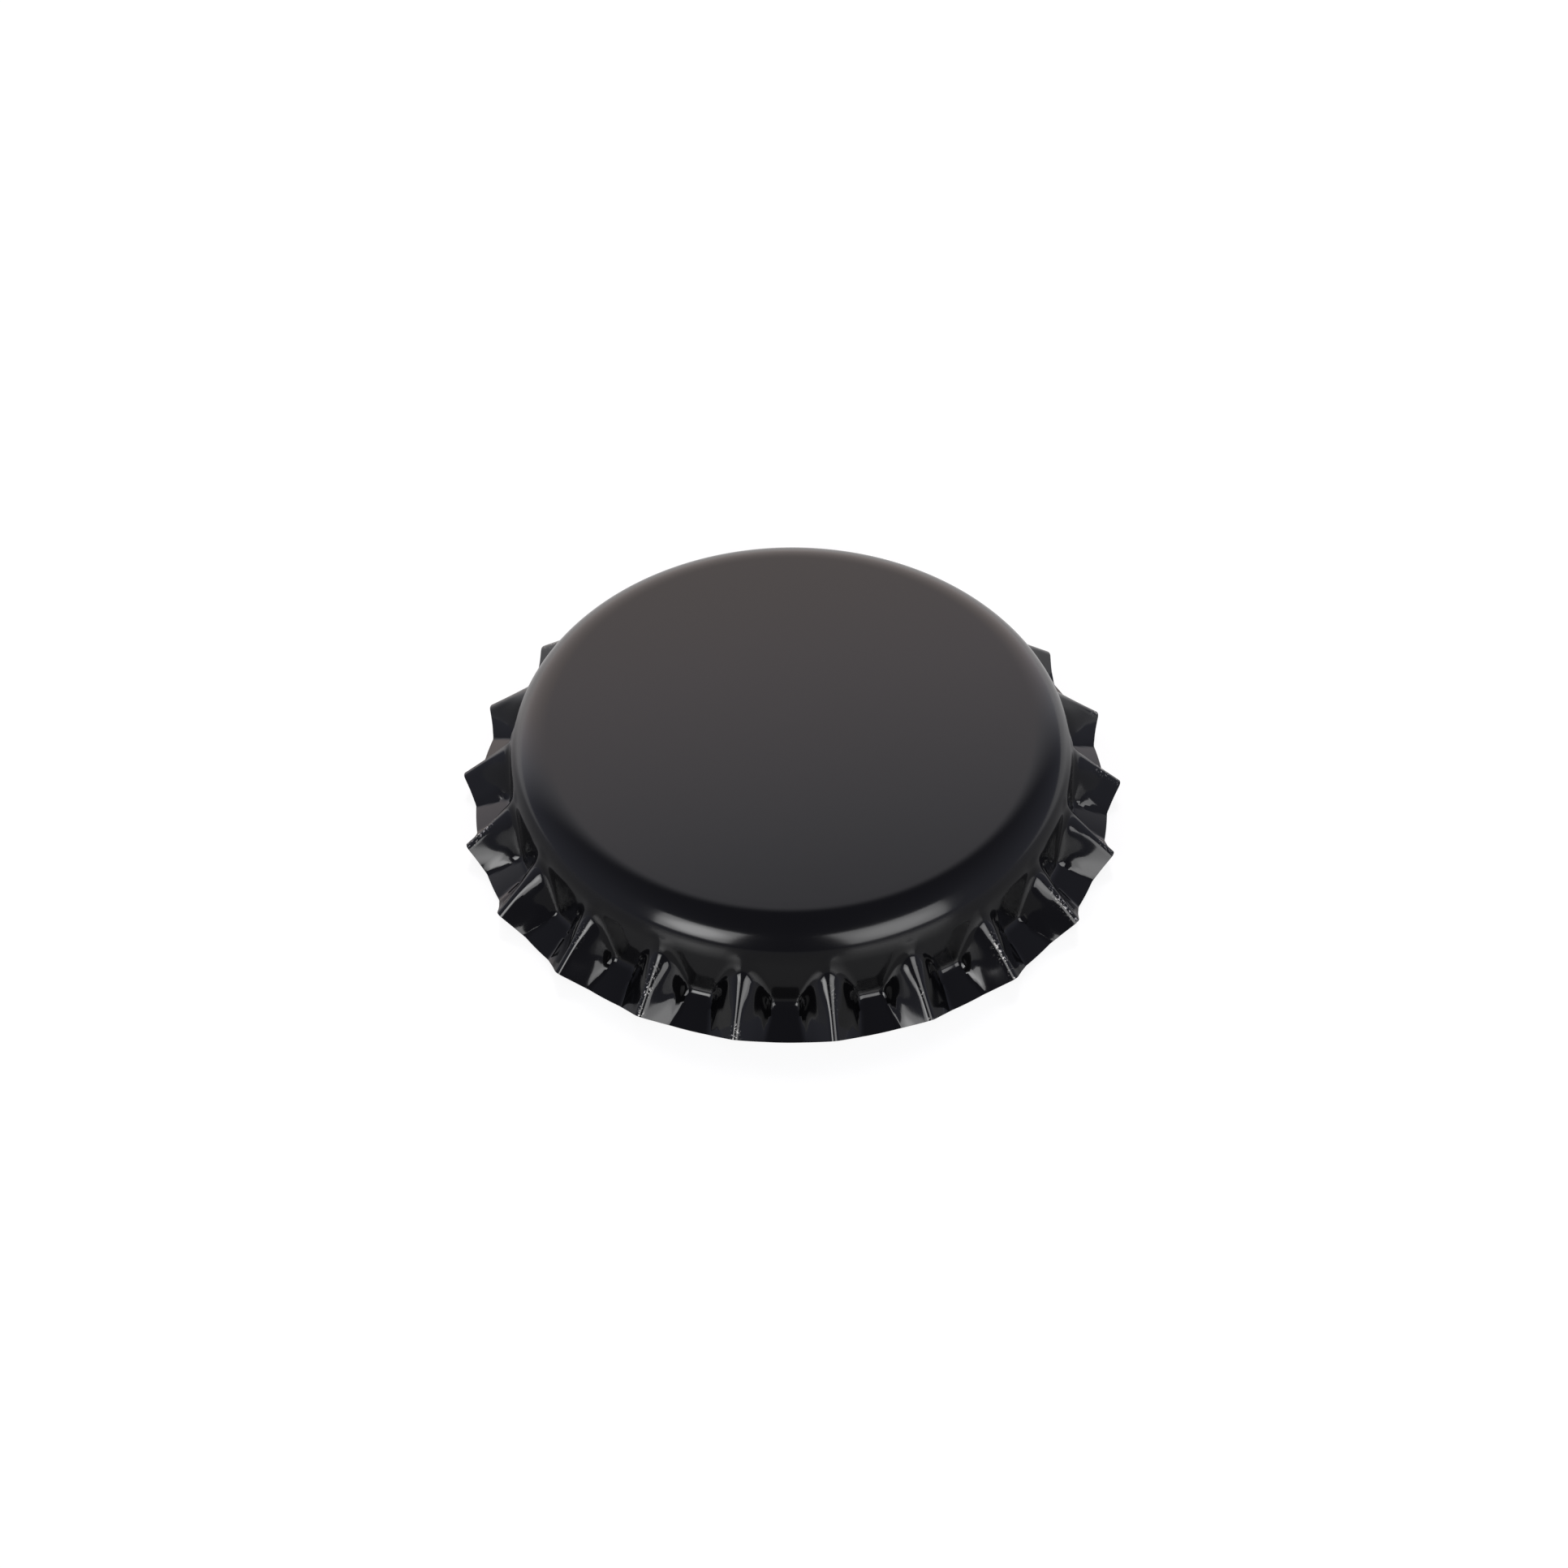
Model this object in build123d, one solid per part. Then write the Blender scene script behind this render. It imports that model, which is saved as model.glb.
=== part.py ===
from build123d import *
import math
import os

# Crown cork for a 26 mm bottle mouth, standing crown side up. Millimetres, +Z up.
# The origin is on the axis, in the plane that the cap stands on. A flute's floor lies over +X and
# a ridge over -X, so that the seams of the turned faces at +X run clear of the ridges.
# Radii and heights are those of the outer face of the sheet unless they say otherwise.

# Pressed sheet
sheet = 0.235
flute_count = 21
overall_height = 6.0

# Crown: a slightly domed panel, and a round shoulder that ends in an upright neck
panel_radius = 175.0
shoulder_radius = 2.0
neck_radius = 13.6

# Brim: the floor of each flute, which leaves the neck in a tight bend and falls to its sheared edge
brim_inset = 0.68
brim_drop = 0.9
brim_bend = 0.6

# Ridges: folds that run down from the shoulder to the tips, straight below and bent upright above
tip_radius = 16.05
ridge_drop = 2.05
ridge_bend = 2.5
ridge_bend_turn = 31.0
ridge_bend_outset = 0.4

# Across a ridge: a round crest, two straight flanks and a round that turns each flank steep
crest_radius = 0.32
fold_inner_radius = 0.16
flank_share = 0.25
flank_depth = 0.9
flank_round = 1.2
foot_half_angle = 10.0
root_fillet = 0.4
root_inner_fillet = 0.2

# The sheared edge of the round blank lies on a cone that rises from the brim to the tips.
edge_rise = 46.6

# Sealing liner, moulded into the panel: insets are from the neck's outer face, and thicknesses are
# below the rim of the panel's inner face
liner_inset = 0.85
film_thickness = 0.35
film_inset = 5.3
inner_bead_thickness = 0.7
inner_bead_inset = 4.7
seat_thickness = 0.55
seat_inner_inset = 4.1
seat_outer_inset = 2.3
outer_bead_thickness = 0.95
outer_bead_inset = 1.65
bead_width = 0.6
bead_fillet = 0.18

# How far the filled bodies reach past the sheared edge, where they are trimmed away
overrun = 2.0
# How deep a ridge's filled body reaches below its crest
ridge_depth = 2.6


def sine(degrees):
    return math.sin(math.radians(degrees))


def cosine(degrees):
    return math.cos(math.radians(degrees))


def tangent(degrees):
    return math.tan(math.radians(degrees))


# The brim and the ridges fall by their drops between the neck and their ends.
brim_radius = tip_radius - brim_inset
brim_fall = math.degrees(math.atan2(brim_drop, brim_radius - neck_radius))
ridge_bend_radius = neck_radius + ridge_bend_outset
ridge_fall = math.degrees(math.atan2(ridge_drop, tip_radius - ridge_bend_radius))

# A ridge's flank takes up its share of the flutes' pitch, measured straight across at the neck.
flank_width = flank_share * 2 * neck_radius * sine(180 / flute_count)
ridge_half_angle = math.degrees(math.atan2(flank_width, flank_depth))

# The sheared edge crosses the sheet, and its lower corner stands on the ground.
brim_height = sheet / sine(edge_rise + brim_fall) * sine(edge_rise)
tip_height = brim_height + (tip_radius - brim_radius) * tangent(edge_rise)

# Centres of the panel's and the shoulder's arcs, in the (radius, height) half-plane
panel_centre_height = overall_height - panel_radius
shoulder_centre_radius = neck_radius - shoulder_radius
shoulder_centre_height = panel_centre_height + math.sqrt(
    (panel_radius - shoulder_radius) ** 2 - shoulder_centre_radius**2
)
# Where the panel passes into the shoulder, as an angle at the panel's centre
panel_half_angle = math.degrees(math.asin(shoulder_centre_radius / (panel_radius - shoulder_radius)))


def on_panel(angle, inset):
    """The point of the panel's arc at an angle from the axis, inset below the outer face."""
    radius = panel_radius - inset
    return (radius * sine(angle), panel_centre_height + radius * cosine(angle))


def on_shoulder(angle, inset):
    """The point of the shoulder's arc at an angle from the horizontal."""
    radius = shoulder_radius - inset
    return (
        shoulder_centre_radius + radius * cosine(angle),
        shoulder_centre_height + radius * sine(angle),
    )


def crown_and_brim(inset):
    """The filled body of revolution below the sheet's face that is inset from the outer one."""
    shoulder_start = 90 - panel_half_angle

    # The brim's bend is concentric on both faces of the sheet, so that its wall is even.
    bend_radius = brim_bend + inset
    bend_centre_radius = neck_radius + brim_bend
    bend_centre_height = brim_height + (
        brim_bend - (bend_centre_radius - brim_radius) * sine(brim_fall)
    ) / cosine(brim_fall)

    def on_bend(angle):
        return (
            bend_centre_radius - bend_radius * cosine(angle),
            bend_centre_height - bend_radius * sine(angle),
        )

    bend_turn = 90 - brim_fall
    bend_end = on_bend(bend_turn)
    outer_reach = tip_radius + overrun
    brim_end = (outer_reach, bend_end[1] - (outer_reach - bend_end[0]) * tangent(brim_fall))
    bottom = brim_end[1] - overrun

    with BuildSketch(Plane.XZ) as profile:
        with BuildLine():
            ThreePointArc(
                on_panel(0, inset),
                on_panel(panel_half_angle / 2, inset),
                on_panel(panel_half_angle, inset),
            )
            ThreePointArc(
                on_shoulder(shoulder_start, inset),
                on_shoulder(shoulder_start / 2, inset),
                on_shoulder(0, inset),
            )
            Line(on_shoulder(0, inset), on_bend(0))
            ThreePointArc(on_bend(0), on_bend(bend_turn / 2), bend_end)
            Polyline(bend_end, brim_end, (outer_reach, bottom), (0, bottom), on_panel(0, inset))
        make_face()
    return revolve(profile.sketch, axis=Axis.Z)


def ridge(inset):
    """One filled ridge over +X: a rounded roof, straight down to its tip and bent upright above."""
    run_top = Vector(
        ridge_bend_radius, 0, tip_height + (tip_radius - ridge_bend_radius) * tangent(ridge_fall)
    )
    down_the_crest = Vector(cosine(ridge_fall), 0, -sine(ridge_fall))
    out_of_the_crest = Vector(sine(ridge_fall), 0, cosine(ridge_fall))
    run_length = (tip_radius - ridge_bend_radius) / cosine(ridge_fall) + overrun

    # Across the ridge, the flanks of the two faces are one sheet apart.
    radius = fold_inner_radius if inset else crest_radius
    outer_apex = crest_radius / sine(ridge_half_angle) - crest_radius
    apex = outer_apex - inset / sine(ridge_half_angle)
    centre = apex - radius / sine(ridge_half_angle)
    flank_top = (radius * cosine(ridge_half_angle), centre + radius * sine(ridge_half_angle))
    round_centre = (
        flank_width - flank_round * cosine(ridge_half_angle),
        outer_apex - flank_depth - flank_round * sine(ridge_half_angle),
    )
    round_radius = flank_round - inset

    def on_round(angle):
        return (
            round_centre[0] + round_radius * cosine(angle),
            round_centre[1] + round_radius * sine(angle),
        )

    foot_top = on_round(foot_half_angle)
    foot_width = foot_top[0] + (foot_top[1] + ridge_depth) * tangent(foot_half_angle)

    with BuildSketch(Plane(run_top, x_dir=(0, 1, 0), z_dir=down_the_crest)) as section:
        with BuildLine() as half:
            RadiusArc((0, centre + radius), flank_top, radius)
            Line(flank_top, on_round(ridge_half_angle))
            ThreePointArc(
                on_round(ridge_half_angle),
                on_round((ridge_half_angle + foot_half_angle) / 2),
                foot_top,
            )
            Polyline(foot_top, (foot_width, -ridge_depth), (0, -ridge_depth))
        mirror(half.line, about=Plane.YZ)
        make_face()
    bend_axis = Axis(run_top + out_of_the_crest * ridge_bend, (0, 1, 0))
    run = extrude(section.sketch, amount=run_length)
    bend = revolve(section.sketch, axis=bend_axis, revolution_arc=ridge_bend_turn)
    return run + bend


def fluted_body(inset, fillet_radius):
    """The crown and brim with its ring of ridges, and a fillet along the foot of every ridge."""
    crown = crown_and_brim(inset)
    one_ridge = ridge(inset)
    half_pitch = 180 / flute_count
    places = PolarLocations(0, flute_count, start_angle=half_pitch)
    body = crown.fuse(*[place * one_ridge for place in places])

    def is_foot(edge):
        middle = edge @ 0.5
        is_crossing = edge.geom_type not in (GeomType.LINE, GeomType.CIRCLE)
        return is_crossing and math.hypot(middle.X, middle.Y) < tip_radius

    return fillet(body.edges().filter_by(is_foot), fillet_radius)


def outside_of_blank():
    """Everything below and outside the cone on which the sheared edge of the blank lies."""

    def on_cone(radius):
        return (radius, brim_height + (radius - brim_radius) * tangent(edge_rise))

    inner_corner = on_cone(neck_radius)
    outer_corner = on_cone(tip_radius + 2 * overrun)
    bottom = inner_corner[1] - 3 * overrun
    with BuildSketch(Plane.XZ) as profile:
        with BuildLine():
            Polyline(
                (0, inner_corner[1]),
                inner_corner,
                outer_corner,
                (outer_corner[0], bottom),
                (0, bottom),
                close=True,
            )
        make_face()
    return revolve(profile.sketch, axis=Axis.Z)


def crown_shell():
    """The pressed sheet between its two faces, trimmed to the round blank."""
    outer_body = fluted_body(0, root_fillet)
    inner_body = fluted_body(sheet, root_inner_fillet)
    return outer_body - inner_body - outside_of_blank()


def sealing_liner():
    """A thin film with a flat seat between two moulded beads, grown onto the panel's inner face."""
    liner_radius = neck_radius - liner_inset
    film_radius = neck_radius - film_inset
    inner_bead_radius = neck_radius - inner_bead_inset
    outer_bead_radius = neck_radius - outer_bead_inset
    rim_height = on_panel(panel_half_angle, sheet)[1]
    film = sheet + film_thickness
    film_angle = math.degrees(math.asin(film_radius / (panel_radius - film)))
    shoulder_start = 90 - panel_half_angle
    edge_angle = math.degrees(
        math.acos((liner_radius - shoulder_centre_radius) / (shoulder_radius - sheet))
    )
    inner_bead = rim_height - inner_bead_thickness
    seat = rim_height - seat_thickness
    outer_bead = rim_height - outer_bead_thickness

    with BuildSketch(Plane.XZ) as profile:
        with BuildLine():
            ThreePointArc(
                on_panel(0, sheet),
                on_panel(panel_half_angle / 2, sheet),
                on_panel(panel_half_angle, sheet),
            )
            ThreePointArc(
                on_shoulder(shoulder_start, sheet),
                on_shoulder((shoulder_start + edge_angle) / 2, sheet),
                on_shoulder(edge_angle, sheet),
            )
            Polyline(
                on_shoulder(edge_angle, sheet),
                (outer_bead_radius + bead_width / 2, outer_bead),
                (outer_bead_radius - bead_width / 2, outer_bead),
                (neck_radius - seat_outer_inset, seat),
                (neck_radius - seat_inner_inset, seat),
                (inner_bead_radius + bead_width / 2, inner_bead),
                (inner_bead_radius - bead_width / 2, inner_bead),
                on_panel(film_angle, film),
            )
            ThreePointArc(
                on_panel(film_angle, film),
                on_panel(film_angle / 2, film),
                on_panel(0, film),
            )
            Line(on_panel(0, film), on_panel(0, sheet))
        make_face()
        # The sketch's own X and Y are the radius and the height. The rim keeps its feather edge.
        corners = profile.vertices().filter_by(
            lambda corner: corner.Y < rim_height - film_thickness
            and corner.X < liner_radius - bead_fillet
        )
        fillet(corners, bead_fillet)
    return revolve(profile.sketch, axis=Axis.Z)


os.makedirs("parts", exist_ok=True)
for name, solid in (("crown_shell", crown_shell()), ("sealing_liner", sealing_liner())):
    export_step(solid, f"parts/{name}.step")
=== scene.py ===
import bpy
import numpy as np
from mathutils import Matrix


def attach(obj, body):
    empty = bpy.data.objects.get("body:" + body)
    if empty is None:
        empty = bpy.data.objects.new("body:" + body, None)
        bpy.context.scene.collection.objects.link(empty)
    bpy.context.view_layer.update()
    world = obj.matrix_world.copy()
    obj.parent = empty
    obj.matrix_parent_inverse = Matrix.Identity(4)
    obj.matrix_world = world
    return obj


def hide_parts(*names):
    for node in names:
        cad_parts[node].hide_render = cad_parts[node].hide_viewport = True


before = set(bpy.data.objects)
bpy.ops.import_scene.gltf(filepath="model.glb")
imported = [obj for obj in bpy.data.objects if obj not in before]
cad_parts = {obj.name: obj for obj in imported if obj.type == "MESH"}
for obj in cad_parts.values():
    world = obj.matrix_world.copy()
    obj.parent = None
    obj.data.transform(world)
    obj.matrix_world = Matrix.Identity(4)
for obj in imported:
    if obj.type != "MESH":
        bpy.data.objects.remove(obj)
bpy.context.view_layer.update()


# CROWN SHELL
# One disc of 0.235 mm tinplate, lacquered on both faces while it is flat, then blanked and drawn
# into a domed panel, a round shoulder and an upright neck. The spare rim of the disc folds into 21
# rounded ridges with a flat brim between them, and its sheared edge is left bare.
MM = 0.001
sheet = 0.235
flute_count = 21
overall_height = 6.0
panel_radius = 175.0
shoulder_radius = 2.0
neck_radius = 13.6

# The brim falls from a tight bend at the neck, and the sheared edge lies on a cone that rises outwards.
brim_radius = 15.37
brim_fall = 26.95
brim_bend = 0.45
edge_rise = 46.6

# Along a ridge: straight to the tip, and a bend that turns upright for a short run, then a dive.
tip_radius = 16.05
ridge_bend = 2.5
ridge_bend_start = 14.1
ridge_bend_run = 1.0
crest_dive = 3.0

# Across a ridge: a round crest, straight flanks that twist steeper inwards, and a round to the foot.
crest_radius = 0.3
crest_inner_radius = 0.12
ridge_half_angle = 46.0
flank_twist = 0.14
twist_run = 1.0
flank_width = 1.01
flank_round = 1.2
foot_half_angle = 10.0

# Near the neck the section opens into a shallow bow, between two places on the `along` axis of lean().
neck_bow = 0.85
bow_start = 9.9
bow_end = 7.9

# How widely a ridge and the drawn cup run into each other, and how much less so near the neck
root_blend = 0.9
neck_narrowing = 0.2

# Above this place on the same axis, all of a face's columns share the same rows.
flutes_start = 5.9

# Points on each arc of the drawn line
panel_points = 60
shoulder_points = 120
bend_points = 60

brim_fall_rad = np.radians(brim_fall)
half_angle_rad = np.radians(ridge_half_angle)
foot_angle_rad = np.radians(foot_half_angle)
edge_slope = np.tan(np.radians(edge_rise))
brim_height = sheet * np.sin(np.radians(edge_rise)) / np.sin(np.radians(edge_rise + brim_fall))
tip_height = brim_height + (tip_radius - brim_radius) * edge_slope
panel_centre = overall_height - panel_radius
shoulder_centre_radius = neck_radius - shoulder_radius
shoulder_centre_height = panel_centre + np.sqrt(
    (panel_radius - shoulder_radius) ** 2 - shoulder_centre_radius**2
)
panel_half_angle = np.arcsin(shoulder_centre_radius / (panel_radius - shoulder_radius))


def lean(radius, height):
    """A half-plane point on axes turned 45 degrees: along = (r - z) / sqrt 2, out = (r + z) / sqrt 2."""
    return (radius - height) / np.sqrt(2), (radius + height) / np.sqrt(2)


def upright(along, out):
    """The inverse of lean: r = (along + out) / sqrt 2, z = (out - along) / sqrt 2."""
    return (along + out) / np.sqrt(2), (out - along) / np.sqrt(2)


def drawn_line(inset):
    """The plain drawn cup's line below an offset of the outer face, as (r, z) from the axis outwards.

    Panel arc, shoulder arc, upright neck, bend of radius brim_bend + inset and brim, each an arc
    c + R (sin t, cos t) or a straight run, all moved inwards by the inset.
    """
    t = np.linspace(0, panel_half_angle, panel_points)
    panel = np.stack([np.sin(t), np.cos(t)]) * (panel_radius - inset) + [[0], [panel_centre]]
    t = np.linspace(panel_half_angle, np.pi / 2, shoulder_points)
    shoulder = np.stack([np.sin(t), np.cos(t)]) * (shoulder_radius - inset)
    shoulder += [[shoulder_centre_radius], [shoulder_centre_height]]
    centre_r = neck_radius + brim_bend
    centre_z = brim_height + (
        brim_bend - (centre_r - brim_radius) * np.sin(brim_fall_rad)
    ) / np.cos(brim_fall_rad)
    t = np.linspace(0, np.pi / 2 - brim_fall_rad, bend_points)
    bend = -np.stack([np.cos(t), np.sin(t)]) * (brim_bend + inset) + [[centre_r], [centre_z]]
    past_the_edge = 4.0
    outwards = np.array([[np.cos(brim_fall_rad)], [-np.sin(brim_fall_rad)]])
    brim = bend[:, -1:] + outwards * past_the_edge
    return np.concatenate([panel, shoulder, bend, brim], axis=1)


def neck_share(along):
    """How near the neck a place is: a smoothstep from 0 at bow_start to 1 at bow_end."""
    share = np.clip((bow_start - along) / (bow_start - bow_end), 0, 1)
    return share**2 * (3 - 2 * share)


def crest_line(along):
    """How far out the crest's own line lies: straight, then a circle R - sqrt(R^2 - u^2), then a dive.

    The dive follows the circle's last slope less crest_dive * v^2, where u and v are the lengths
    above the start and the end of the bend.
    """
    bend_along = lean(ridge_bend_start, tip_height + tip_radius - ridge_bend_start)[0]
    up = np.clip(bend_along - along, 0, None)
    turned = np.minimum(up, ridge_bend_run)
    bend_out = np.sqrt(ridge_bend**2 - turned**2)
    dive = (up - turned) * turned / bend_out - crest_dive * (up - turned) ** 2
    return lean(tip_radius, tip_height)[1] + ridge_bend - bend_out + dive


def fold_depth(side, along, fold_radius):
    """How far a ridge's fold lies below its crest, at a distance to the side of it.

    A circle R - sqrt(R^2 - y^2) for the crest, then a flank of slope 1 / tan(half angle), which is
    steeper by the share flank_twist * twist_run * (1 - exp(-d / twist_run)) at a length d inwards
    from the rim, then a circle that turns the flank steep, and last a slope of 1 / tan(foot angle).
    """
    touch = fold_radius * np.cos(half_angle_rad)
    depth = fold_radius - np.sqrt(fold_radius**2 - np.minimum(side, touch) ** 2)
    inwards = np.clip(lean(brim_radius, brim_height)[0] - along, 0, None)
    twist = 1 + flank_twist * twist_run * (1 - np.exp(-inwards / twist_run))
    depth = depth + (np.clip(side, touch, flank_width) - touch) / np.tan(half_angle_rad) * twist
    centre = flank_width - flank_round * np.cos(half_angle_rad)
    foot = centre + flank_round * np.cos(foot_angle_rad)
    rounded = np.clip(side, flank_width, foot) - centre
    depth += flank_round * np.sin(half_angle_rad) - np.sqrt(flank_round**2 - rounded**2)
    depth += np.clip(side - foot, 0, None) / np.tan(foot_angle_rad)
    return depth


def ridge_roof(along, radius, turn, inset):
    """How far out a ridge reaches at a point turned away from its crest.

    The crest's line less the depth across it, which passes from the fold into the parabola
    neck_bow * y^2 near the neck. The inner face follows one sheet below, with its own crest radius.
    """
    side = np.abs(radius * np.sin(turn))
    shift = radius * (1 - np.cos(turn)) / np.sqrt(2)
    fold_radius = crest_inner_radius if inset else crest_radius
    drop = inset / np.sin(half_angle_rad)
    drop -= (crest_radius - fold_radius) * (1 / np.sin(half_angle_rad) - 1)
    depth = fold_depth(side, along, fold_radius)
    depth = depth + (neck_bow * side**2 - depth) * neck_share(along)
    return crest_line(along - shift) - drop - depth + shift


def blend_out(first, second, width):
    """The larger of two values, rounded where they meet: max + width / 6 * (1 - gap / width)^3."""
    near = np.clip(width - np.abs(first - second), 0, None) / width
    return np.maximum(first, second) + near**3 * width / 6


def fluted_face(inset, rows_above, rows_below, turn):
    """One face of the sheet as radius and height on a grid of rows and columns.

    Each column is the half-plane at an angle turned from the nearest crest. Its rows go from the
    axis along the drawn line to flutes_start, and below that along the larger of drawn line and
    ridge roof, down to the cone on which the blank's sheared edge lies.
    """
    line_along, line_out = lean(*drawn_line(inset))

    def out_at(along, turn):
        # The roof depends on the radius that it gives, so it is worked out a few times over.
        plain = np.interp(along, line_along, line_out)
        out = plain
        for _ in range(5):
            radius = upright(along, out)[0]
            width = root_blend - neck_narrowing * neck_share(along)
            out = blend_out(plain, ridge_roof(along, radius, turn, inset), width)
        return out

    # Each column meets the cone somewhere between these two places, found by halving.
    low = np.full_like(turn, 8.0)
    high = np.full_like(turn, 12.5)
    for _ in range(40):
        middle = (low + high) / 2
        radius, height = upright(middle, out_at(middle, turn))
        outside = height < brim_height + (radius - brim_radius) * edge_slope
        high = np.where(outside, middle, high)
        low = np.where(outside, low, middle)
    along_end = (low + high) / 2

    above = np.interp(rows_above, [0, 1], [line_along[0], flutes_start])[:, None]
    below = flutes_start + (along_end - flutes_start) * rows_below[:, None]
    along = np.concatenate([np.repeat(above, len(turn), axis=1), below])
    return upright(along, out_at(along, turn[None, :]))


def rows_above_flutes(inset, panel_rows, shoulder_rows):
    """Row positions from 0 to 1 in `along`, spaced evenly by arc length on the panel and shoulder."""
    radius, height = drawn_line(inset)
    along = lean(radius, height)[0]
    length = np.concatenate([[0], np.cumsum(np.hypot(np.diff(radius), np.diff(height)))])
    # The line's radius rises as far as the shoulder's end.
    rising = slice(0, panel_points + shoulder_points)
    first = 0.15
    corner = np.interp(shoulder_centre_radius - 0.3, radius[rising], length[rising])
    last = np.interp(flutes_start, along, length)
    wanted = np.concatenate(
        [np.linspace(first, corner, panel_rows), np.linspace(corner, last, shoulder_rows + 1)[1:]]
    )
    at = np.interp(wanted, length, along)
    return (at - along[0]) / (flutes_start - along[0])


# Columns crowd at the crest, where the fold is tight. These are degrees from a crest outwards.
half_columns = np.radians(
    [0, 0.17, 0.35, 0.55, 0.8, 1.1, 1.5, 2.0, 2.55, 3.1, 3.65, 4.2, 4.75, 5.3, 5.85, 6.4, 7.1, 7.8]
)
half_pitch = np.pi / flute_count
pitch_columns = np.concatenate([half_columns, [half_pitch], half_pitch * 2 - half_columns[:0:-1]])
pitch_turn = np.where(pitch_columns > half_pitch, pitch_columns - 2 * half_pitch, pitch_columns)
turn = np.tile(pitch_turn, flute_count)
crests = np.arange(flute_count)[:, None] * 2 * half_pitch
azimuth = (pitch_columns[None, :] + crests).ravel() + half_pitch

# The flat panel needs few rows, and the flutes need many. The outer face has more than the inner one,
# and the power sets its rows a little closer together towards the edge.
outer_rows = np.linspace(0, 1, 49)[1:] ** 0.96
inner_rows = np.linspace(0, 1, 29)[1:]
outer_top_rows = rows_above_flutes(0.0, panel_rows=8, shoulder_rows=22)
inner_top_rows = rows_above_flutes(sheet, panel_rows=5, shoulder_rows=10)
outer_r, outer_z = fluted_face(0.0, outer_top_rows, outer_rows, turn)
inner_r, inner_z = fluted_face(sheet, inner_top_rows, inner_rows, turn)

# The sheared edge runs straight from face to face, with two rings of points on the way.
share = np.array([0.12, 0.88])[:, None]
edge_r = outer_r[-1] * (1 - share) + inner_r[-1] * share
edge_z = outer_z[-1] * (1 - share) + inner_z[-1] * share
radius = np.concatenate([outer_r, edge_r, inner_r[::-1]])
height = np.concatenate([outer_z, edge_z, inner_z[::-1]])


def turned_grid(name, radius, height, azimuth, top, bottom):
    """A closed mesh from rings of points: rings of radius and height, turned round the axis.

    The first and last rings close onto the axis at the heights top and bottom.
    """
    rows, columns = radius.shape
    ring = np.stack([radius * np.cos(azimuth), radius * np.sin(azimuth), height], axis=-1)
    points = np.concatenate([ring.reshape(-1, 3), [[0, 0, top], [0, 0, bottom]]]) * MM
    here = np.arange(rows * columns).reshape(rows, columns)
    there = np.roll(here, -1, axis=1)
    quads = np.stack([here[1:], there[1:], there[:-1], here[:-1]], axis=-1).reshape(-1, 4)
    first = np.stack([here[0], there[0], np.full(columns, rows * columns)], axis=-1)
    last = np.stack([there[-1], here[-1], np.full(columns, rows * columns + 1)], axis=-1)
    mesh = bpy.data.meshes.new(name)
    mesh.from_pydata(points.tolist(), [], first.tolist() + quads.tolist() + last.tolist())
    mesh.shade_smooth()
    piece = bpy.data.objects.new(name, mesh)
    bpy.context.scene.collection.objects.link(piece)
    return piece


shell = turned_grid(
    "crown_shell_pressed", radius, height, azimuth, overall_height, overall_height - sheet
)
rows, columns = radius.shape
lacquered, sheared, varnished = 0, 1, 2
ring_material = np.full(rows - 1, lacquered)
ring_material[len(outer_r) - 1 : len(outer_r) + 2] = sheared
ring_material[len(outer_r) + 2 :] = varnished
material_index = np.concatenate(
    [np.full(columns, lacquered), np.repeat(ring_material, columns), np.full(columns, varnished)]
)
shell.data.polygons.foreach_set("material_index", material_index.astype(np.int32))
shell.data.set_sharp_from_angle(angle=np.radians(40))

# How exposed the lacquer is: exp(-(distance from the crest / wear_width)^2) on the outer face, fading
# out over the last millimetre below the height wear_top.
wear_width = 0.16
wear_top = 2.9
exposed = np.exp(-((outer_r * turn / wear_width) ** 2)) * np.clip(wear_top - outer_z, 0, 1)
worn = np.zeros(radius.size + 2)
worn[: outer_r.size] = exposed.ravel()
shell.data.attributes.new("exposed", "FLOAT", "POINT").data.foreach_set("value", worn)


def linear(hex_code):
    """An sRGB hex colour as the linear values that a shader socket takes."""
    values = np.array([int(hex_code[i : i + 2], 16) for i in (1, 3, 5)]) / 255
    values = np.where(values <= 0.04045, values / 12.92, ((values + 0.055) / 1.055) ** 2.4)
    return (*values, 1.0)


def add(tree, kind, inputs, **settings):
    """A new node with its settings, and each input, by name or number, set to a value or linked."""
    node = tree.nodes.new(kind)
    for name, value in settings.items():
        setattr(node, name, value)
    for key, value in inputs.items():
        if isinstance(value, bpy.types.NodeSocket):
            tree.links.new(value, node.inputs[key])
        else:
            node.inputs[key].default_value = value
    return node


def new_material(name):
    """An empty node material, its node tree and the place on the piece, in metres."""
    material = bpy.data.materials.new(name)
    material.use_nodes = True
    material.node_tree.nodes.clear()
    where = add(material.node_tree, "ShaderNodeTexCoord", {}).outputs["Object"]
    return material, material.node_tree, where


# The numbers of a colour mix's sockets: its two colours and its result
MIX_A, MIX_B, MIX_RESULT = 6, 7, 2

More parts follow.
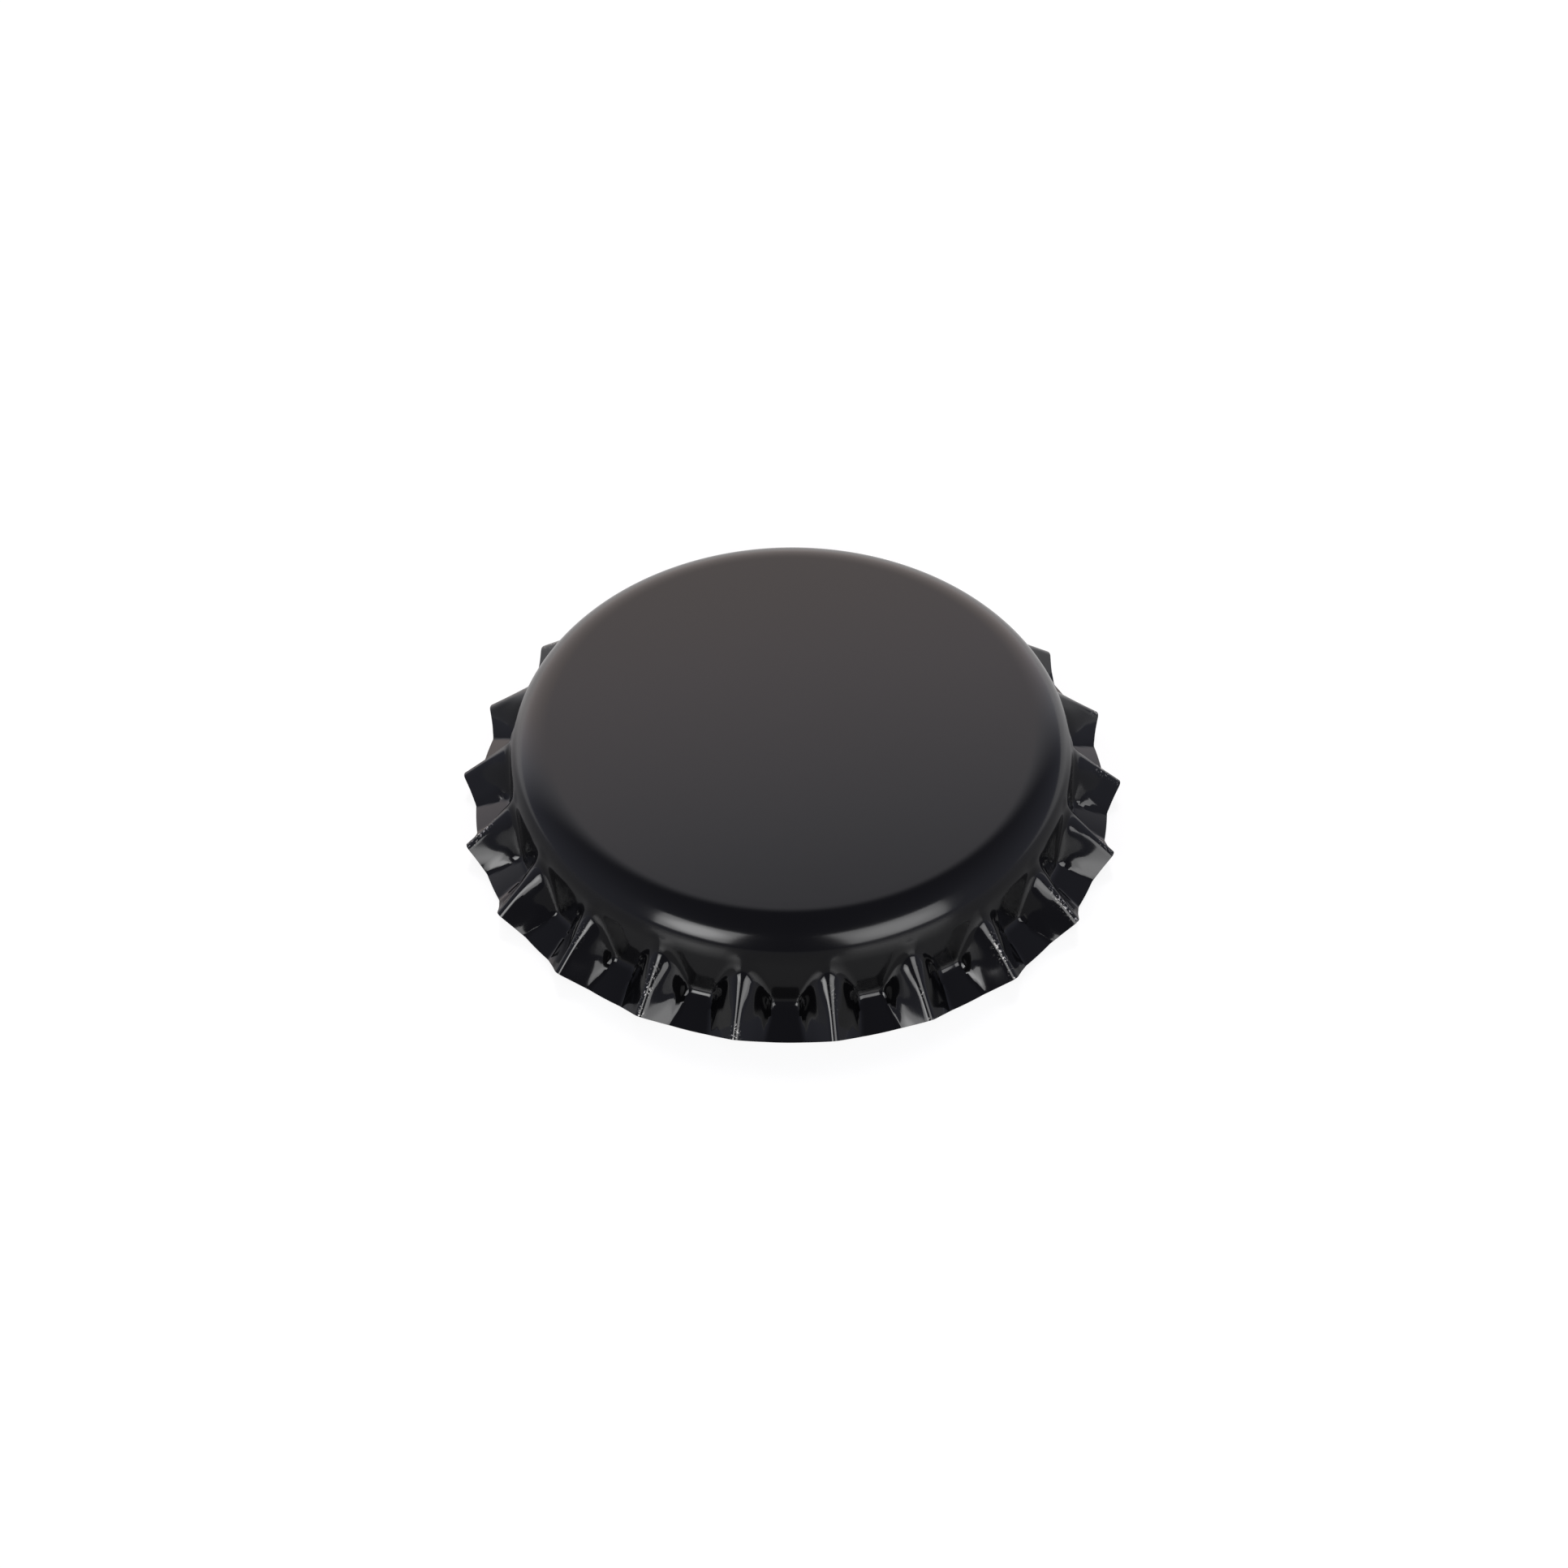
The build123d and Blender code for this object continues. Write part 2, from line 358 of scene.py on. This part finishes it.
# Baked black lacquer, rolled onto the flat sheet in a coat of about 5 microns. It gives a mirror-like
# gloss with a very faint orange peel, its ripples about 1.1 mm apart, and clouds of 6 mm where it is
# a little duller. In the photograph, the shoulder and panel above the flutes are duller still.
lacquer, tree, where = new_material("baked black can lacquer")
peel = add(
    tree, "ShaderNodeTexNoise", {"Vector": where, "Scale": 0.9 / MM, "Detail": 2.0, "Roughness": 0.4},
)
clouds = add(tree, "ShaderNodeTexNoise", {"Vector": where, "Scale": 0.16 / MM, "Detail": 3.0})
gloss = add(
    tree, "ShaderNodeMapRange",
    {"Value": clouds.outputs["Fac"], "From Min": 0.3, "From Max": 0.7, "To Min": 0.06, "To Max": 0.11},
)
rise = add(tree, "ShaderNodeSeparateXYZ", {"Vector": where}).outputs["Z"]
above_flutes = add(
    tree, "ShaderNodeMapRange",
    {"Value": rise, "From Min": 3.2 * MM, "From Max": 4.0 * MM, "To Min": 0.0, "To Max": 0.055},
    interpolation_type="SMOOTHSTEP",
)
dullness = add(tree, "ShaderNodeMath", {0: gloss.outputs[0], 1: above_flutes.outputs[0]}, operation="ADD")
peel_relief = add(
    tree, "ShaderNodeBump", {"Strength": 0.08, "Distance": 0.01 * MM, "Height": peel.outputs["Fac"]},
)
coat = add(
    tree, "ShaderNodeBsdfPrincipled",
    {
        "Base Color": linear("#09090A"), "IOR": 1.5, "Roughness": dullness.outputs[0],
        "Normal": peel_relief.outputs[0],
    },
)

# Where crests rub together in the box, the lacquer chips off in specks of about 0.1 mm, in patches of
# about 2 mm, down to the tin.
specks = add(tree, "ShaderNodeTexNoise", {"Vector": where, "Scale": 9.0 / MM, "Detail": 1.0})
patches = add(tree, "ShaderNodeTexNoise", {"Vector": where, "Scale": 0.42 / MM, "Detail": 1.0})
chipped = add(
    tree, "ShaderNodeMapRange", {"Value": specks.outputs["Fac"], "From Min": 0.60, "From Max": 0.64},
)
patchy = add(
    tree, "ShaderNodeMapRange", {"Value": patches.outputs["Fac"], "From Min": 0.52, "From Max": 0.60},
)
crest = add(tree, "ShaderNodeAttribute", {}, attribute_name="exposed")
chance = add(
    tree, "ShaderNodeMath", {0: patchy.outputs[0], 1: crest.outputs["Fac"]}, operation="MULTIPLY",
)
bare = add(tree, "ShaderNodeMath", {0: chance.outputs[0], 1: chipped.outputs[0]}, operation="MULTIPLY")
tinned = add(
    tree, "ShaderNodeBsdfPrincipled",
    {"Base Color": linear("#D8D6D2"), "Metallic": 1.0, "Roughness": 0.5},
)
worn_coat = add(
    tree, "ShaderNodeMixShader", {"Fac": bare.outputs[0], 1: coat.outputs[0], 2: tinned.outputs[0]},
)
add(tree, "ShaderNodeOutputMaterial", {"Surface": worn_coat.outputs[0]})

# The bare edge of the blank: steel burnished where the shear bit in and torn below, in upright scores
# 0.17 mm apart, which are drawn that coarse to show. Tin covers only the blank's two faces.
cut, tree, where = new_material("sheared tinplate edge")
along_cut = add(tree, "ShaderNodeMapping", {"Vector": where, "Scale": (6.0 / MM, 6.0 / MM, 0.9 / MM)})
scores = add(
    tree, "ShaderNodeTexNoise",
    {"Vector": along_cut.outputs[0], "Scale": 1.0, "Detail": 3.0, "Roughness": 0.6},
)
shade = add(
    tree, "ShaderNodeMix",
    {"Factor": scores.outputs["Fac"], MIX_A: linear("#4E4A46"), MIX_B: linear("#8E8A84")},
    data_type="RGBA",
)
torn = add(
    tree, "ShaderNodeMapRange",
    {"Value": scores.outputs["Fac"], "From Min": 0.3, "From Max": 0.7, "To Min": 0.3, "To Max": 0.55},
)
score_relief = add(
    tree, "ShaderNodeBump", {"Strength": 0.3, "Distance": 0.008 * MM, "Height": scores.outputs["Fac"]},
)
steel = add(
    tree, "ShaderNodeBsdfPrincipled",
    {
        "Base Color": shade.outputs[MIX_RESULT], "Metallic": 1.0, "Roughness": torn.outputs[0],
        "Normal": score_relief.outputs[0],
    },
)
add(tree, "ShaderNodeOutputMaterial", {"Surface": steel.outputs[0]})

# Tinplate under a clear varnish on the side that faces the drink: a soft silver sheen, with the rolling
# mill's grain along X, 0.14 mm apart and drawn that coarse to show, and faint warm clouds of 7 mm
# where the varnish lies thicker.
tin, tree, where = new_material("clear varnished tinplate")
rolled = add(tree, "ShaderNodeMapping", {"Vector": where, "Scale": (0.25 / MM, 7.0 / MM, 0.25 / MM)})
grain = add(
    tree, "ShaderNodeTexNoise",
    {"Vector": rolled.outputs[0], "Scale": 1.0, "Detail": 4.0, "Roughness": 0.6},
)
clouds = add(tree, "ShaderNodeTexNoise", {"Vector": where, "Scale": 0.14 / MM, "Detail": 2.0})
thickness = add(
    tree, "ShaderNodeMapRange", {"Value": clouds.outputs["Fac"], "From Min": 0.3, "From Max": 0.7},
)
warmth = add(
    tree, "ShaderNodeMix",
    {"Factor": thickness.outputs[0], MIX_A: linear("#CDCBC3"), MIX_B: linear("#C4BCA4")},
    data_type="RGBA",
)
satin = add(
    tree, "ShaderNodeMapRange",
    {"Value": grain.outputs["Fac"], "From Min": 0.3, "From Max": 0.7, "To Min": 0.22, "To Max": 0.38},
)
grain_relief = add(
    tree, "ShaderNodeBump", {"Strength": 0.2, "Distance": 0.004 * MM, "Height": grain.outputs["Fac"]},
)
bright = add(
    tree, "ShaderNodeBsdfPrincipled",
    {
        "Base Color": warmth.outputs[MIX_RESULT], "Metallic": 1.0, "Roughness": satin.outputs[0],
        "Normal": grain_relief.outputs[0],
    },
)
add(tree, "ShaderNodeOutputMaterial", {"Surface": bright.outputs[0]})

for material in (lacquer, cut, tin):
    shell.data.materials.append(material)
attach(shell, "root")
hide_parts("crown_shell")


# SEALING LINER
# A pellet of soft polymer, pressed while hot onto the panel's varnished inner face. The punch leaves
# a thin film in the middle and a flat ring-shaped seat between two beads for the rim of the glass.
liner_radius = 12.75
film_thickness = 0.35
film_radius = 8.3
inner_bead_thickness = 0.7
inner_bead_radius = 8.9
seat_thickness = 0.55
seat_inner_radius = 9.5
seat_outer_radius = 11.3
outer_bead_thickness = 0.95
outer_bead_radius = 11.95
bead_width = 0.6

rim_height = panel_centre + (panel_radius - sheet) * np.cos(panel_half_angle)
bead_outer_corner = outer_bead_radius + bead_width / 2
corner_r, corner_t = zip(
    (0, film_thickness),
    (film_radius, film_thickness),
    (inner_bead_radius - bead_width / 2, inner_bead_thickness),
    (inner_bead_radius + bead_width / 2, inner_bead_thickness),
    (seat_inner_radius, seat_thickness),
    (seat_outer_radius, seat_thickness),
    (outer_bead_radius - bead_width / 2, outer_bead_thickness),
    (bead_outer_corner, outer_bead_thickness),
    (liner_radius, 0.0),
)


def liner_faces(radius):
    """The heights of the liner's moulded face and of the sheet above it, at each radius.

    The moulded face joins its corners straight and is then rounded by an average over a window of
    0.3 mm, which gives each bead a radius of about 0.2 mm. The sheet is the panel's arc and then the
    shoulder's, each of them c + sqrt(R^2 - (r - a)^2).
    """
    # These points lie 0.005 mm apart, so 61 of them make up the window.
    fine = np.linspace(0, liner_radius, 2551)
    window = 61
    margin = window // 2
    dome = panel_centre + np.sqrt((panel_radius - sheet) ** 2 - fine**2) - rim_height
    shoulder_arc = shoulder_centre_height + np.sqrt(
        np.clip((shoulder_radius - sheet) ** 2 - (fine - shoulder_centre_radius) ** 2, 0, None)
    )
    ceiling = np.where(fine < shoulder_centre_radius, dome + rim_height, shoulder_arc)
    under = rim_height - np.interp(fine, corner_r, corner_t) + np.where(fine < film_radius, dome, 0)
    bead_end = under[np.searchsorted(fine, bead_outer_corner)]
    slope = np.interp(fine, [bead_outer_corner, liner_radius], [bead_end, ceiling[-1]])
    under = np.where(fine > bead_outer_corner, slope, under)
    before = under[margin:0:-1]
    after = 2 * under[-1] - under[-2 : -2 - margin : -1]
    padded = np.concatenate([before, under, after])
    smooth = np.convolve(padded, np.ones(window) / window, mode="valid")
    return np.interp(radius, fine, np.minimum(smooth, ceiling)), np.interp(radius, fine, ceiling)


# Rings go outwards along the sheet, crowded on the shoulder, and come back along the moulded face,
# crowded at the beads.
up = np.concatenate([np.linspace(0.5, 11.4, 10), np.linspace(11.6, liner_radius - 0.02, 16)])
down = np.concatenate([np.linspace(0.2, 8.0, 14), np.linspace(8.1, liner_radius, 110)])
ceiling_z = liner_faces(up)[1]
under_z = liner_faces(down)[0]
liner_azimuth = np.radians(np.arange(0, 360, 1.5))
ones = np.ones_like(liner_azimuth)
liner = turned_grid(
    "sealing_liner_moulded",
    np.concatenate([up, down[::-1]])[:, None] * ones,
    np.concatenate([ceiling_z, under_z[::-1]])[:, None] * ones,
    liner_azimuth, overall_height - sheet, under_z[0],
)

# Soft closure compound, moulded: milky and faintly warm, with clouds of 4.5 mm in itself, a satin skin
# from the polished punch and the fine ripples, 0.7 mm apart, that the hot polymer froze with.
compound, tree, where = new_material("moulded closure compound")
milk = add(tree, "ShaderNodeTexNoise", {"Vector": where, "Scale": 0.22 / MM, "Detail": 3.0})
cloudy = add(
    tree, "ShaderNodeMapRange", {"Value": milk.outputs["Fac"], "From Min": 0.3, "From Max": 0.7},
)
body = add(
    tree, "ShaderNodeMix",
    {"Factor": cloudy.outputs[0], MIX_A: linear("#DDDEDA"), MIX_B: linear("#D6D6CE")},
    data_type="RGBA",
)
skin = add(
    tree, "ShaderNodeMapRange",
    {"Value": milk.outputs["Fac"], "From Min": 0.3, "From Max": 0.7, "To Min": 0.32, "To Max": 0.44},
)
ripples = add(tree, "ShaderNodeTexNoise", {"Vector": where, "Scale": 1.4 / MM, "Detail": 2.0})
ripple_relief = add(
    tree, "ShaderNodeBump", {"Strength": 0.15, "Distance": 0.02 * MM, "Height": ripples.outputs["Fac"]},
)
soft = add(
    tree, "ShaderNodeBsdfPrincipled",
    {
        "Base Color": body.outputs[MIX_RESULT], "IOR": 1.5, "Roughness": skin.outputs[0],
        "Normal": ripple_relief.outputs[0], "Subsurface Weight": 0.25, "Subsurface Scale": 0.6 * MM,
    },
)
add(tree, "ShaderNodeOutputMaterial", {"Surface": soft.outputs[0]})
liner.data.materials.append(compound)
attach(liner, "root")
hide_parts("sealing_liner")


# WHITE SHEET, STUDIO AND CAMERA
# The cap stands on a sheet of glazed white card before a lit white wall, in a room that is otherwise
# dim. Two soft boxes stand at the front, one on each side of the camera. Distances from here on are
# in metres.
camera_azimuth = np.radians(275.794)
camera_elevation = 46.45
camera_roll = 0.428
camera_distance = 0.36


def seen_from_camera(left_right, elevation, distance=1.0):
    """A place by its direction from the cap: degrees right of straight ahead and above the ground."""
    bearing = camera_azimuth + np.pi - np.radians(left_right)
    level = np.cos(np.radians(elevation))
    direction = [np.cos(bearing) * level, np.sin(bearing) * level, np.sin(np.radians(elevation))]
    return np.array(direction) * distance


def facing(place, back, roll=0.0):
    """The matrix of a lamp or camera at a place, turned away from `back`, level and then rolled.

    Its columns are across = z x back, upward = back x across, both rolled by an angle, back and place.
    """
    across = np.cross([0, 0, 1], back)
    across /= np.linalg.norm(across)
    upward = np.cross(back, across)
    across, upward = (
        across * np.cos(roll) - upward * np.sin(roll),
        across * np.sin(roll) + upward * np.cos(roll),
    )
    return Matrix(np.column_stack([across, upward, back, place]).tolist() + [[0, 0, 0, 1]])


# The card reaches this far on each side, past the picture's edges.
reach = 6
floor_corners = [(-reach, -reach, 0), (reach, -reach, 0), (reach, reach, 0), (-reach, reach, 0)]
floor_mesh = bpy.data.meshes.new("white_sheet")
floor_mesh.from_pydata(floor_corners, [], [(0, 1, 2, 3)])
floor = bpy.data.objects.new("white_sheet", floor_mesh)
bpy.context.scene.collection.objects.link(floor)

# The card looks white and keeps the cap's faint shadow. In the cap's gloss it shows painted light graded
# by place:
# a painted shade in front of the cap and painted brighter light behind it, standing in for the wall's
# light.
paper, tree, where = new_material("glazed white card")
path = add(tree, "ShaderNodeLightPath", {}).outputs
in_gloss = add(
    tree, "ShaderNodeMath", {0: path["Is Glossy Ray"], 1: path["Is Transmission Ray"]},
    operation="MAXIMUM",
)
# Painted light seen only in gloss: a dim painted shade in front of the cap and up to 3 mm behind its
# axis, rising to painted brighter light 12 mm behind it.
behind = add(
    tree, "ShaderNodeVectorMath", {0: where, 1: tuple(seen_from_camera(4, 0))}, operation="DOT_PRODUCT",
)
painted_gloss_light = add(
    tree, "ShaderNodeMapRange",
    {
        "Value": behind.outputs["Value"], "From Min": 3 * MM, "From Max": 12 * MM,
        "To Min": 0.13, "To Max": 0.65,
    },
    interpolation_type="SMOOTHSTEP",
)
seen = add(
    tree, "ShaderNodeMath", {0: in_gloss.outputs[0], 1: painted_gloss_light.outputs[0], 2: path["Is Camera Ray"]},
    operation="MULTIPLY_ADD",
)
lift = add(tree, "ShaderNodeMath", {0: seen.outputs[0], 1: 0.86}, operation="MULTIPLY")
card = add(
    tree, "ShaderNodeBsdfPrincipled", {"Base Color": linear("#7C7C7C"), "Roughness": 0.2, "IOR": 1.5},
)
card_glow = add(tree, "ShaderNodeEmission", {"Strength": lift.outputs[0]})
lit_card = add(tree, "ShaderNodeAddShader", {0: card.outputs[0], 1: card_glow.outputs[0]})
add(tree, "ShaderNodeOutputMaterial", {"Surface": lit_card.outputs[0]})
floor_mesh.materials.append(paper)

# The lit wall behind is a round glow just above the horizon, brightest 8 degrees left of straight
# ahead, and the room's sides add a little cool light.
room = bpy.data.worlds.new("studio_room")
bpy.context.scene.world = room
room.use_nodes = True
tree = room.node_tree
tree.nodes.clear()
direction = add(tree, "ShaderNodeTexCoord", {}).outputs["Generated"]
ahead = add(
    tree, "ShaderNodeVectorMath", {0: direction, 1: tuple(seen_from_camera(-8, 8))},
    operation="DOT_PRODUCT",
)
outer_angle = np.radians(62)
inner_angle = np.radians(28)
wall_glow = add(
    tree, "ShaderNodeMapRange",
    {
        "Value": ahead.outputs["Value"], "From Min": float(np.cos(outer_angle)),
        "From Max": float(np.cos(inner_angle)), "To Min": 0.0, "To Max": 1.0,
    },
    interpolation_type="SMOOTHSTEP",
)
wall = add(tree, "ShaderNodeValToRGB", {"Fac": wall_glow.outputs[0]})
tones = wall.color_ramp.elements
tones[0].color = (0.10, 0.10, 0.13, 1.0)
tones[1].color = (1.40, 1.24, 1.20, 1.0)
tones.new(0.62).color = (0.89, 0.88, 0.95, 1.0)
tones.new(0.93).color = (1.32, 1.20, 1.24, 1.0)
sideways = add(
    tree, "ShaderNodeVectorMath", {0: direction, 1: tuple(seen_from_camera(90, 0))},
    operation="DOT_PRODUCT",
).outputs["Value"]
beside = add(tree, "ShaderNodeMath", {0: sideways, 1: sideways}, operation="MULTIPLY")
room_light = add(
    tree, "ShaderNodeMix",
    {"Factor": beside.outputs[0], MIX_A: wall.outputs["Color"], MIX_B: (0.22, 0.23, 0.28, 1.0)},
    data_type="RGBA", blend_type="ADD",
)
sky = add(tree, "ShaderNodeBackground", {"Color": room_light.outputs[MIX_RESULT], "Strength": 1.0})
add(tree, "ShaderNodeOutputWorld", {"Surface": sky.outputs[0]})


def soft_box(name, left_right, elevation, distance, width, height, radiance, rim):
    """An upright rectangle of light that faces the cap, brightest in its centre.

    Its power is radiance * pi * area, and the cloth dims it from the centre to a share `rim` of that
    on an ellipse: strength = rim + (1 - rim) * smoothstep((1 - distance / half the size) / 0.6).
    """
    lamp = bpy.data.lights.new(name, "AREA")
    lamp.shape = "RECTANGLE"
    lamp.size = width
    lamp.size_y = height
    lamp.energy = radiance * np.pi * width * height
    lamp.use_nodes = True
    tree = lamp.node_tree
    tree.nodes.clear()
    cloth = add(tree, "ShaderNodeNewGeometry", {}).outputs["Parametric"]
    cloth = add(tree, "ShaderNodeMapping", {"Vector": cloth, "Location": (-1, -1, 0), "Scale": (2, 2, 0)})
    centre = add(
        tree, "ShaderNodeTexGradient", {"Vector": cloth.outputs[0]}, gradient_type="SPHERICAL",
    )
    strength = add(
        tree, "ShaderNodeMapRange", {"Value": centre.outputs["Fac"], "From Max": 0.6, "To Min": rim},
        interpolation_type="SMOOTHSTEP",
    )
    light = add(tree, "ShaderNodeEmission", {"Strength": strength.outputs[0]})
    add(tree, "ShaderNodeOutputLight", {"Surface": light.outputs[0]})
    stand = bpy.data.objects.new(name, lamp)
    place = seen_from_camera(left_right, elevation, distance)
    stand.matrix_world = facing(place, place / distance)
    bpy.context.scene.collection.objects.link(stand)


soft_box("soft_box_left", -144.0, 26, 0.7, width=0.34, height=0.42, radiance=6.6, rim=0.5)
soft_box("soft_box_right", 142.0, 26, 0.7, width=0.47, height=0.46, radiance=4.0, rim=0.7)

# A long lens, well back, that looks at the cap's axis at about half its height. Its focal length and
# the place of its own axis are in pixels of the square image.
image_size = 1932
focal_length = 9155
axis_x = 974.875
axis_y = 941.15
target = np.array([0, 0, 3.17 * MM])
back = seen_from_camera(180, camera_elevation)
lens = bpy.data.cameras.new("long_lens")
lens.sensor_width = 36.0
lens.lens = focal_length / image_size * lens.sensor_width
lens.shift_x = (image_size / 2 - axis_x) / image_size
lens.shift_y = (axis_y - image_size / 2) / image_size
lens.clip_start = 0.01
camera = bpy.data.objects.new("camera", lens)
camera.matrix_world = facing(target + back * camera_distance, back, np.radians(camera_roll))
bpy.context.scene.collection.objects.link(camera)
bpy.context.scene.camera = camera
bpy.context.scene.view_settings.view_transform = "Standard"
